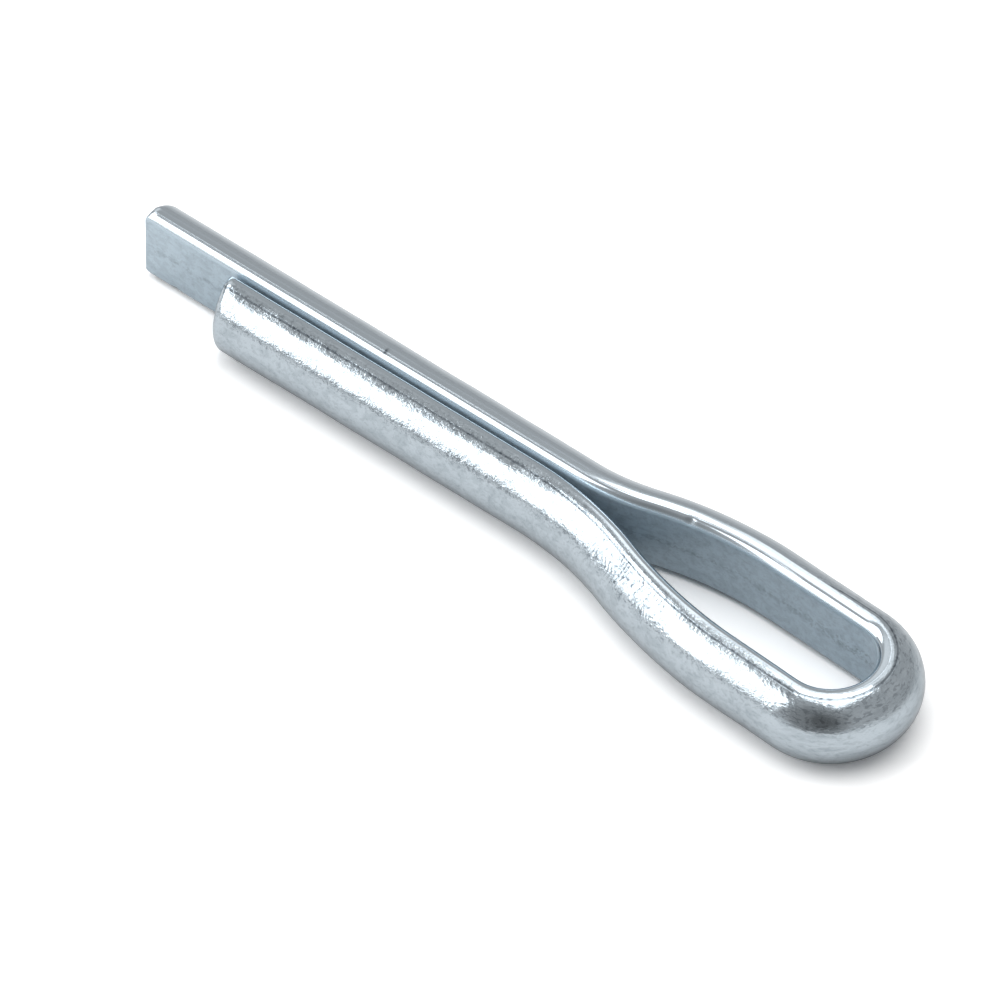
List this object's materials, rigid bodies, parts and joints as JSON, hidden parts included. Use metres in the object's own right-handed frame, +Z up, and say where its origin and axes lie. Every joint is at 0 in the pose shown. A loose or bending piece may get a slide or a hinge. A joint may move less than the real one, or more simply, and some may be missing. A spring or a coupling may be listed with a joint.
{
  "type": "cotter pin",
  "caption": "Split cotter pin of half-round steel wire, folded into a long eye, with one leg longer than the other. It locks a nut or a clevis pin.",
  "frame": {"origin": "on the axis of the round shank that the two legs make together, where the short leg starts to bend out into the eye", "axes": "+X along the shank towards the eye, with both tips towards -X; +Y towards the long leg; +Z up from the surface on which the pin lies, square to the loop"},
  "size_m": [0.0946, 0.0184, 0.0088],
  "materials": {
    "zinc_plated_steel": "bright zinc plate, smooth along the wire, with faint drawing lines and a slight orange peel"
  },
  "bodies": {
    "root": {"cotter_pin": "zinc_plated_steel"}
  },
  "joints": []
}
